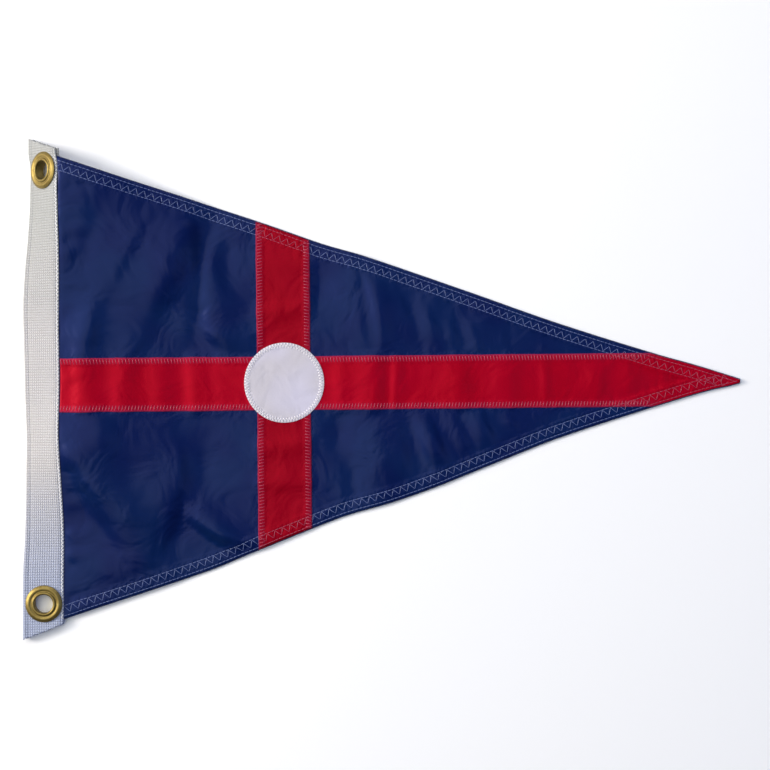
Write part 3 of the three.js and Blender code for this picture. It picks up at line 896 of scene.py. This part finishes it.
def nylon(name):
    """The nylon material of that name, made once. Its row holds its colour's name, the colours of its drift,
    its sewn edges (the clear thread's tint on the red, painted shade on the white) and its satin gloss, how
    strong that gloss is and how polished its pressed face."""
    made = {
        "navy_nylon_taffeta": ("navy", "#000e3a", "#152457", "#2060ff", 0.35, 0.22),
        "red_nylon_taffeta": ("red", "#930018", "#85345e", "#ff0838", 1.0, 0.045),
        "white_nylon_taffeta": ("white", "#c2bdc4", "#b3b1b9", "#e0dcff", 0.5, 0.1),
    }
    if name in bpy.data.materials:
        return bpy.data.materials[name]
    base, drift, sewn, satin, satin_level, polish = made[name]
    shades = [linear(code) for code in (drift, sewn, satin)]
    return nylon_material(name, colour(base), *shades, satin_level, polish)


class BURGEE_OT_field(bpy.types.Operator):
    """Makes the navy field, its hems turned to the back and the cloth behind the cross cut away"""

    bl_idname = "burgee.field"
    bl_label = "Navy field"

    def execute(self, context):
        # At each x the sheet runs out along the lower hem's back, round its edge and over the face, and then
        # round the upper edge and in along that hem's back
        x = np.linspace(SEAM_FOOT[0] - TUCK, TIP_X - 0.2, 262)
        half_tip_gap = 0.35
        hem_width = np.minimum(HEM_WIDTH, (top_y(x) - foot_y(x)) / 2 - half_tip_gap)
        back = np.linspace(1, 0.12, 6) * hem_width[:, None]
        fold_radius = (FIELD_FACE - HEM_BACK) / 2
        turn = np.radians(np.linspace(-90, 90, 7))
        bend = np.broadcast_to(fold_radius * (1 - np.cos(turn)), (len(x), len(turn)))
        hem = np.concatenate([back, bend], 1)
        bend_z = (FIELD_FACE + HEM_BACK) / 2 + fold_radius * np.sin(turn)
        hem_z = np.concatenate([np.full(back.shape[1], HEM_BACK), bend_z])
        share = np.linspace(0, 1, 112)[1:-1]
        across = 0.45 * share + 0.55 * (1 - np.cos(math.pi * share)) / 2
        foot = foot_y(x)[:, None]
        top = top_y(x)[:, None]
        low = foot + fold_radius
        face = low + (top - fold_radius - low) * across
        y = np.concatenate([foot + hem, face, (top - hem)[:, ::-1]], 1)
        z = np.concatenate([hem_z, np.full(len(across), FIELD_FACE), hem_z[::-1]])
        points = np.stack(np.broadcast_arrays(x[:, None], y, z), axis=-1)
        piece = new_piece("field_cloth", points, grid_faces(*y.shape))
        thicken(piece, context.scene.burgee_sizes.cloth / MM)
        # The window behind the cross and the disc, inside the hems and the seams
        half = BAND_WIDTH / 2 - SEAM_LAP
        bar_x = np.linspace(float(seam_x(0)) + SEAM_LAP, TIP_X, 400)
        narrowest = 0.6
        bar_x = bar_x[top_y(bar_x, HEM_WIDTH) - foot_y(bar_x, HEM_WIDTH) > narrowest]
        bar_top = np.minimum(top_y(bar_x, HEM_WIDTH), BAND_Y + half)
        bar_foot = np.maximum(foot_y(bar_x, HEM_WIDTH), BAND_Y - half)
        every = 9
        bar = between(bar_x, bar_foot, bar_top)[::every]
        post_x = np.array([UPRIGHT_X - half, UPRIGHT_X + half])
        post = between(post_x, foot_y(post_x, HEM_WIDTH), top_y(post_x, HEM_WIDTH))
        cut_out(piece, [bar, post, circle(DISC_X, DISC_Y, DISC_RADIUS - SEAM_LAP)])
        area = lay_cloth(piece, nylon("navy_nylon_taffeta"), "field", {"gathered": gathering})
        return {"FINISHED"}


def band_sewn(x, y):
    """How much the thread lightens the red: a line at the band's edge, and a broad trace of the zigzag."""
    inside = band_depth(x, y)
    return 0.65 * dip(inside, 0.2, 0.6) + 0.12 * dip(inside, 2.4, 1.6)


class BURGEE_OT_arms(bpy.types.Operator):
    """Makes the four red arms of the cross as thin strips on the field's face"""

    bl_idname = "burgee.arms"
    bl_label = "Red arms"

    def execute(self, context):
        half = BAND_WIDTH / 2
        inset = 0.45
        tip_inset = 0.35
        reach = DISC_RADIUS - SEAM_LAP
        share = np.linspace(0, 1, 50)
        # The horizontal arms: rows of points along the band that end on a circle under the disc
        rows_y = BAND_Y - half + BAND_WIDTH * share
        curve = np.sqrt(np.maximum(reach**2 - (rows_y - DISC_Y) ** 2, 0))
        start = seam_x(rows_y) + inset
        hoist_x = start + (DISC_X - curve - start) * np.linspace(0, 1, 130)[:, None]
        fly_from = DISC_X + curve
        fly_x = fly_from + (TIP_X - tip_inset - fly_from) * np.linspace(0, 1, 290)[:, None]
        low = np.maximum(foot_y(fly_x, inset), BAND_Y - half)
        high = np.minimum(top_y(fly_x, inset), BAND_Y + half)
        # The upright arms: columns from the band or the circle to the long edge
        post_x = np.linspace(UPRIGHT_X - half, UPRIGHT_X + half, 50)
        arch = np.sqrt(np.maximum(reach**2 - (post_x - DISC_X) ** 2, 0))
        upper_from = np.maximum(BAND_Y + half + GAP, DISC_Y + arch)
        lower_from = np.minimum(BAND_Y - half - GAP, DISC_Y - arch)
        upper_y = upper_from + (top_y(post_x, inset) - upper_from) * share[:, None]
        lower_y = foot_y(post_x, inset) + (lower_from - foot_y(post_x, inset)) * share[:, None]
        grids = {
            "arm_hoist": (hoist_x, rows_y),
            "arm_fly": (fly_x, low + (high - low) * share),
            "arm_upper": (post_x, upper_y),
            "arm_lower": (post_x, lower_y),
        }
        for node, (x, y) in grids.items():
            upright = node in ("arm_upper", "arm_lower")
            points = np.stack(np.broadcast_arrays(x, y, ARM_FACE), axis=-1)
            faces = grid_faces(*points.shape[:2])
            piece = new_piece(node + "_cloth", points, faces[:, ::-1] if upright else faces)
            thicken(piece, context.scene.burgee_sizes.cloth / MM)
            # The uprights carry the cross-grain mark: painted shade, a third darker in the red's material
            marks = {"sewn": band_sewn, "gathered": gathering, "cross_cut": float(upright)}
            area = lay_cloth(piece, nylon("red_nylon_taffeta"), node, marks)
            width, length = sorted((np.ptp(x) * MM, np.ptp(y) * MM))
            area = min(area, width * length)
        return {"FINISHED"}


class BURGEE_OT_disc(bpy.types.Operator):
    """Makes the white disc over the crossing"""

    bl_idname = "burgee.disc"
    bl_label = "White disc"

    def execute(self, context):
        steps = 120
        rim = DISC_RADIUS - 0.3
        radius = np.concatenate([[0.25], np.linspace(1.2, rim - 0.3, 24), [rim - 0.1, rim]])[:, None]
        angle = np.linspace(0, 2 * math.pi, steps, endpoint=False)
        x = DISC_X + radius * np.cos(angle)
        y = DISC_Y + radius * np.sin(angle)
        rings = np.stack(np.broadcast_arrays(x, y, DISC_FACE), axis=-1).reshape(-1, 3)
        points = np.concatenate([rings, [[DISC_X, DISC_Y, DISC_FACE]]])
        first = np.arange(steps)
        middle = np.stack([np.full(steps, len(rings)), first, (first + 1) % steps], axis=-1)
        faces = grid_faces(len(radius), steps, closed=True)
        piece = new_piece("disc_cloth", points, faces[:, ::-1], middle)
        thicken(piece, context.scene.burgee_sizes.cloth / MM)
        # The sewn mark on the white disc is painted shade: a greyer ring for the shade between the rim's
        # stitches
        marks = {
            "gathered": lambda x, y: dip(disc_depth(x, y), 2, 2.5),
            "sewn": lambda x, y: 0.6 * dip(disc_depth(x, y), 1.6, 1.8),
        }
        area = lay_cloth(piece, nylon("white_nylon_taffeta"), "disc", marks)
        return {"FINISHED"}


def cut_ends(from_fold):
    """Where the tape's two cut ends lie: each a straight line from the fold to the free edge."""
    share = from_fold / HEADING_WIDTH
    return [end[0] + (end[1] - end[0]) * share for end in (HEADING_TOP, HEADING_FOOT)]


def tape_side(radius, run, fold_at, middle):
    """One side of the folded tape as distances from the fold and levels: in along the front, by a half
    circle round the fold, and out along the back."""
    turn = np.radians(np.linspace(90, 270, 13))[1:-1]
    level = np.full(len(run), radius)
    from_fold = np.concatenate([run, fold_at + radius * np.cos(turn), run[::-1]])
    return np.stack([from_fold, middle + np.concatenate([level, radius * np.sin(turn), -level])])


class BURGEE_OT_heading(bpy.types.Operator):
    """Makes the webbing heading: one tape folded round the hoist edge, with slanted ends and two holes"""

    bl_idname = "burgee.heading"
    bl_label = "Webbing heading"

    def execute(self, context):
        middle = (WEBBING_FRONT + WEBBING_BACK) / 2
        outer = (WEBBING_FRONT - WEBBING_BACK) / 2
        run = np.linspace(HEADING_WIDTH, outer, 30)
        outside = tape_side(outer, run, outer, middle)
        inside = tape_side(outer - WEBBING_THICK, run, outer, middle)[:, ::-1]
        section_p, section_z = np.concatenate([outside, inside], 1)
        rows = 360
        top, foot = cut_ends(section_p)
        y = foot + (top - foot) * np.linspace(0, 1, rows)[:, None]
        points = np.stack(np.broadcast_arrays(section_p, y, section_z), axis=-1)
        # Quads between the rows, and between the tape's two sides at each end
        count = len(section_p)
        index = np.arange(count // 2)
        near, far = index[:-1], index[1:]
        ends = np.stack([near, far, count - 1 - far, count - 1 - near], axis=-1)
        quads = grid_faces(rows, count, closed=True)
        faces = np.concatenate([quads, ends[:, ::-1], ends + (rows - 1) * count])
        piece = new_piece("heading_webbing", points, faces[:, ::-1])
        # The weave reads millimetres round the tape, by the mean gap between its points, and along it
        mean_gap = 0.93
        girth = np.concatenate([index, index[::-1]]) * mean_gap
        round_and_along = np.stack(np.broadcast_arrays(girth, y), axis=-1).reshape(-1, 2)
        vertex = np.zeros(len(piece.data.loops), np.int32)
        piece.data.loops.foreach_get("vertex_index", vertex)
        weave = piece.data.uv_layers.new(name="weave")
        weave.data.foreach_set("uv", round_and_along[vertex].astype(np.float32).ravel())
        hole = HOLE_RADIUS + BARREL_WALL + 0.2
        cut_out(piece, [circle(grommet.from_fold, grommet.y, hole, 48) for grommet in GROMMETS])
        # The tape is rounded at its fold, pressed by the grommets, scalloped by its seam and a little wavy
        p, y, z = vertex_array(piece.data).T
        away = [np.hypot(p - grommet.from_fold, y - grommet.y) for grommet in GROMMETS]
        free = 1 - np.minimum(sum(dip(distance, 0, 13) for distance in away), 1)
        roll = (dip(p, 1.6, 1.6) * 0.45 - dip(p, 4.2, 0.7) * 0.3) * free
        press = -0.12 * sum(rise(-distance, -16, -12.5) for distance in away)
        scallop = 0.4 * np.abs(np.sin(math.pi * y / BEAD)) * rise(p, HEADING_WIDTH - 0.6, HEADING_WIDTH)
        front = np.where(z > middle, 1.0, -1.0)
        on_face = (z - FIELD_FACE - GAP) / (WEBBING_FRONT - FIELD_FACE - GAP)
        pressed = np.where(z > middle, (tape_face(p) - WEBBING_FRONT) * on_face, 0)
        # The cut ends fray: their yarns stop at uneven lengths
        draw = np.random.default_rng(29)
        top, foot = cut_ends(p)
        close = 0.01
        at_end = (np.abs(y - top) < close).astype(float) - (np.abs(y - foot) < close)
        y = y + at_end * draw.uniform(-0.55, 0.45, len(y))
        waves = 0.16 * wander(y, p, 31, 13) * rise(p, 0, 12) * free
        move_points(piece, lay_webbing(p + scallop, y, z + pressed + front * (roll + press) + waves))
        finish_piece(piece, webbing_material(), ["heading"])
        # Flat, the tape is as wide as its front, the half circle of its middle layer and its back
        girth = (2 * (HEADING_WIDTH - outer) + math.pi * (outer - WEBBING_THICK / 2)) * MM
        return {"FINISHED"}


def ring_surface(name, grommet, profile, steps=96):
    """A turned ring: its closed half section, radius and level, is carried round the hole's axis, which
    stands square to the tape's slope."""
    radius, level = np.asarray(profile, float).T
    angle = np.linspace(0, 2 * math.pi, steps, endpoint=False)[:, None]
    tilt, seam_height = webbing_slope(grommet.y)
    wide = read_table(HEADING_LIES, grommet.y, "wide")
    down = (HEADING_WIDTH - grommet.from_fold) * wide - radius * np.cos(angle)
    x = seam_x(grommet.y) - down * np.cos(tilt) - level * np.sin(tilt)
    y = grommet.y + radius * np.sin(angle)
    z = seam_height - down * np.sin(tilt) + level * np.cos(tilt)
    count = len(radius)
    i, j = np.meshgrid(np.arange(steps), np.arange(count), indexing="ij")
    turned, up = (i + 1) % steps, (j + 1) % count
    corners = [i * count + j, turned * count + j, turned * count + up, i * count + up]
    return new_piece(name, to_row_frame(np.stack([x, y, z], axis=-1)), np.stack(corners, -1).reshape(-1, 4))


def arc(centre, radius, start, end, count=9):
    """Points of a round stretch of a half section."""
    angle = np.radians(np.linspace(start, end, count))
    return [(centre[0] + radius * math.cos(a), centre[1] + radius * math.sin(a)) for a in angle]


class BURGEE_OT_grommets(bpy.types.Operator):
    """Makes the brass grommets, each a domed ring with a barrel, and the washers on the back"""

    bl_idname = "burgee.grommets"
    bl_label = "Brass grommets"

    def execute(self, context):
        brass = brass_material()
        face = WEBBING_FRONT + 0.12
        barrel = HOLE_RADIUS + BARREL_WALL
        dome = RIM_HEIGHT - face
        ring = [(barrel, WASHER_FOOT + 0.8), (barrel, face)]
        ring += [(FLANGE_RADIUS - 0.5, face)]
        ring += arc((FLANGE_RADIUS - 0.45, face + 0.45), 0.45, -60, 60, 6)
        ring += [
            (FLANGE_RADIUS - 0.9, face + 1.1),
            (FLANGE_RADIUS - 1.6, face + 0.86 * dome),
            (FLANGE_RADIUS - 2.3, face + 0.9 * dome),
            (FLANGE_RADIUS - 3.1, face + 0.72 * dome),
            (HOLE_RADIUS + 2.2, face + 0.56 * dome),
        ]
        ring += arc((HOLE_RADIUS + 1.0, face + 0.5 * dome), 1.0, 20, 180, 10)
        ring += [(HOLE_RADIUS + 0.1, face - 0.6), (HOLE_RADIUS + 0.5, WASHER_FOOT + 1.0)]
        ring += arc((HOLE_RADIUS + 1.0, WASHER_FOOT + 0.5), 0.5, 180, 300, 7)
        ring += [(barrel + 0.75, WASHER_FOOT + 0.12), (barrel + 0.8, WASHER_FOOT + 0.45)]
        back = WEBBING_BACK - 0.1
        washer = [(barrel + 0.15, back), (barrel + 0.15, back - 0.35), (barrel + 1.0, WASHER_FOOT + 0.35)]
        washer += [(barrel + 1.6, WASHER_FOOT + 0.05), (FLANGE_RADIUS - 1.4, WASHER_FOOT + 0.05)]
        washer += arc((FLANGE_RADIUS - 0.6, WASHER_FOOT + 0.6), 0.6, -80, 0, 6)
        washer += [(FLANGE_RADIUS, back)]
        for grommet in GROMMETS:
            for kind, profile in (("grommet", ring), ("washer", washer)):
                node = kind + "_" + grommet.place
                piece = ring_surface(node + "_ring", grommet, profile)
                finish_piece(piece, brass, [node])
        return {"FINISHED"}


class BURGEE_OT_hem_stitching(bpy.types.Operator):
    """Sews the hems: two straight rows with a zigzag between them"""

    bl_idname = "burgee.hem_stitching"
    bl_label = "Hem stitching"

    def execute(self, context):
        sizes = context.scene.burgee_sizes
        radius = sizes.thread / MM
        rows = []
        for place, line in hem_lines().items():
            rows.append((*zigzag(line, sizes.hem_pitch / MM, *HEM_ZIGZAG[place], lean=0.12), 0.85 * radius))
            rows += [(*running(line, sizes.stitch / MM, off), radius) for off in HEM_ROWS[place]]
        starts = np.concatenate([row[0] for row in rows])
        ends = np.concatenate([row[1] for row in rows])
        radii = np.concatenate([np.full(len(row[0]), row[2]) for row in rows])
        inside = np.minimum(edge_distance(*starts.T), edge_distance(*ends.T)) > 0.7
        piece = thread_tubes("hem_stitching", starts[inside], ends[inside], radii[inside])
        material = thread_material("clear_monofilament", colour("thread"), linear("#9c3854"))
        finish_piece(piece, material)
        return {"FINISHED"}


class BURGEE_OT_band_stitching(bpy.types.Operator):
    """Sews every edge of the red arms with a dense zigzag"""

    bl_idname = "burgee.band_stitching"
    bl_label = "Band stitching"

    def execute(self, context):
        sizes = context.scene.burgee_sizes
        pairs = [zigzag(line, sizes.band_pitch / MM, *BAND_ZIGZAG, lean=0.3) for line in band_lines()]
        starts = np.concatenate([pair[0] for pair in pairs])
        ends = np.concatenate([pair[1] for pair in pairs])
        # Every other leg stands out, and the one between is drawn down into the cloth
        legs = np.concatenate([np.arange(len(pair[0])) % 2 for pair in pairs])
        radius = sizes.thread / MM * np.where(legs == 0, 1.15, 0.5)
        inside = np.minimum(edge_distance(*starts.T), edge_distance(*ends.T)) > 0.5
        inside &= np.maximum(disc_depth(*starts.T), disc_depth(*ends.T)) < -0.2
        piece = thread_tubes("band_stitching", starts[inside], ends[inside], radius[inside])
        material = thread_material("clear_nylon_thread", colour("thread"), linear("#ac3450"))
        finish_piece(piece, material)
        return {"FINISHED"}


class BURGEE_OT_disc_stitching(bpy.types.Operator):
    """Sews the disc's rim with a dense zigzag"""

    bl_idname = "burgee.disc_stitching"
    bl_label = "Disc stitching"

    def execute(self, context):
        sizes = context.scene.burgee_sizes
        starts, ends = zigzag(disc_line(), sizes.band_pitch / MM, *DISC_ZIGZAG)
        piece = thread_tubes("disc_stitching", starts, ends, sizes.thread / MM * 0.85)
        material = thread_material("white_polyester_thread", linear("#f2eef2"), linear("#f2eef2"))
        finish_piece(piece, material)
        return {"FINISHED"}


class BURGEE_OT_heading_stitching(bpy.types.Operator):
    """Sews the heading's free edge to the cloth with a zigzag that bites over its selvage"""

    bl_idname = "burgee.heading_stitching"
    bl_label = "Heading stitching"

    def execute(self, context):
        line = SeamLine([[HEADING_WIDTH, SEAM_FOOT[1] + 1], [HEADING_WIDTH, SEAM_TOP[1] - 1]], 1)
        starts, ends = zigzag(line, BEAD, 0.0, 1.4)
        radius = context.scene.burgee_sizes.thread / MM
        piece = thread_tubes("heading_stitching", starts, ends, radius, on_tape=True)
        white = linear("#efeef0")
        finish_piece(piece, thread_material("spun_polyester_thread", white, white))
        return {"FINISHED"}


def soft_box(name, place, size, power, tint):
    """A rectangular soft light at a place, turned towards the burgee's middle: tipped up from straight down
    by the slope of the line to it, and swung to that line's side."""
    data = bpy.data.lights.new(name, "AREA")
    data.shape = "RECTANGLE"
    data.size, data.size_y = size
    data.energy = power
    data.color = linear(tint)[:3]
    light = bpy.data.objects.new(name, data)
    light.location = place
    x, y, height = place
    light.rotation_euler = (math.atan2(math.hypot(x, y), height), 0, math.atan2(-y, -x) - math.pi / 2)
    bpy.context.scene.collection.objects.link(light)


class BURGEE_OT_stage(bpy.types.Operator):
    """Sets the pale floor, the soft lights and the camera over the burgee"""

    bl_idname = "burgee.stage"
    bl_label = "Stage"

    def execute(self, context):
        scene = context.scene
        reach = 3.0
        corners = np.array([[-reach, -reach, 0], [reach, -reach, 0], [reach, reach, 0], [-reach, reach, 0]])
        floor = new_piece("floor", corners, np.array([[0, 1, 2, 3]]))
        floor.data.materials.append(new_material("matt_white_paint", linear("#fdfdfd"), 0.9)[0])
        soft_box("low_window", (-2.5, 0.5, 1.3), (1.0, 1.0), 72, "#fff8f0")
        soft_box("overhead_panel", (-0.62, 0.2, 1.3), (1.8, 1.4), 14.5, "#f5f6f1")
        soft_box("right_panel", (1.0, -0.15, 1.5), (0.7, 1.4), 5, "#9ebcff")
        soft_box("top_panel", (0.1, 1.5, 1.3), (1.8, 0.6), 11, "#f0f2ff")
        world = bpy.data.worlds.new("studio")
        world.use_nodes = True
        sky = world.node_tree.nodes["Background"]
        sky.inputs["Color"].default_value = linear("#f4f6ff")
        sky.inputs["Strength"].default_value = 0.1
        scene.world = world
        height = 1.0
        sensor = 36.0
        photo_pixels = 770
        pixel = 0.6385 * MM
        data = bpy.data.cameras.new("camera")
        data.sensor_width = sensor
        data.lens = sensor * height / (photo_pixels * pixel)
        data.clip_start = 0.01
        camera = bpy.data.objects.new("camera", data)
        camera.location = (PLAN_X * MM, PLAN_Y * MM, height)
        roll_degrees = -0.56
        camera.rotation_euler = (0, 0, math.radians(roll_degrees))
        scene.collection.objects.link(camera)
        scene.camera = camera
        scene.view_settings.view_transform = "Standard"
        return {"FINISHED"}


STEPS = [
    BURGEE_OT_field,
    BURGEE_OT_arms,
    BURGEE_OT_disc,
    BURGEE_OT_heading,
    BURGEE_OT_grommets,
    BURGEE_OT_hem_stitching,
    BURGEE_OT_band_stitching,
    BURGEE_OT_disc_stitching,
    BURGEE_OT_heading_stitching,
    BURGEE_OT_stage,
]


class BURGEE_PT_panel(bpy.types.Panel):
    """Lists the burgee's pieces in the sidebar, with the sizes and colours that may be changed"""

    bl_label = "Burgee"
    bl_idname = "BURGEE_PT_panel"
    bl_space_type = "VIEW_3D"
    bl_region_type = "UI"
    bl_category = "Burgee"

    def draw(self, context):
        for group in (context.scene.burgee_sizes, context.scene.burgee_colours):
            box = self.layout.box()
            for name in group.__annotations__:
                box.prop(group, name)
        for step in STEPS:
            self.layout.operator(step.bl_idname)


CLASSES = [BurgeeSizes, BurgeeColours, *STEPS, BURGEE_PT_panel]


def register():
    for item in CLASSES:
        bpy.utils.register_class(item)
    bpy.types.Scene.burgee_sizes = bpy.props.PointerProperty(type=BurgeeSizes)
    bpy.types.Scene.burgee_colours = bpy.props.PointerProperty(type=BurgeeColours)


def unregister():
    del bpy.types.Scene.burgee_sizes
    del bpy.types.Scene.burgee_colours
    for item in reversed(CLASSES):
        bpy.utils.unregister_class(item)


def main():
    register()
    for step in STEPS:
        group, name = step.bl_idname.split(".")
        getattr(getattr(bpy.ops, group), name)()


if __name__ == "__main__":
    main()
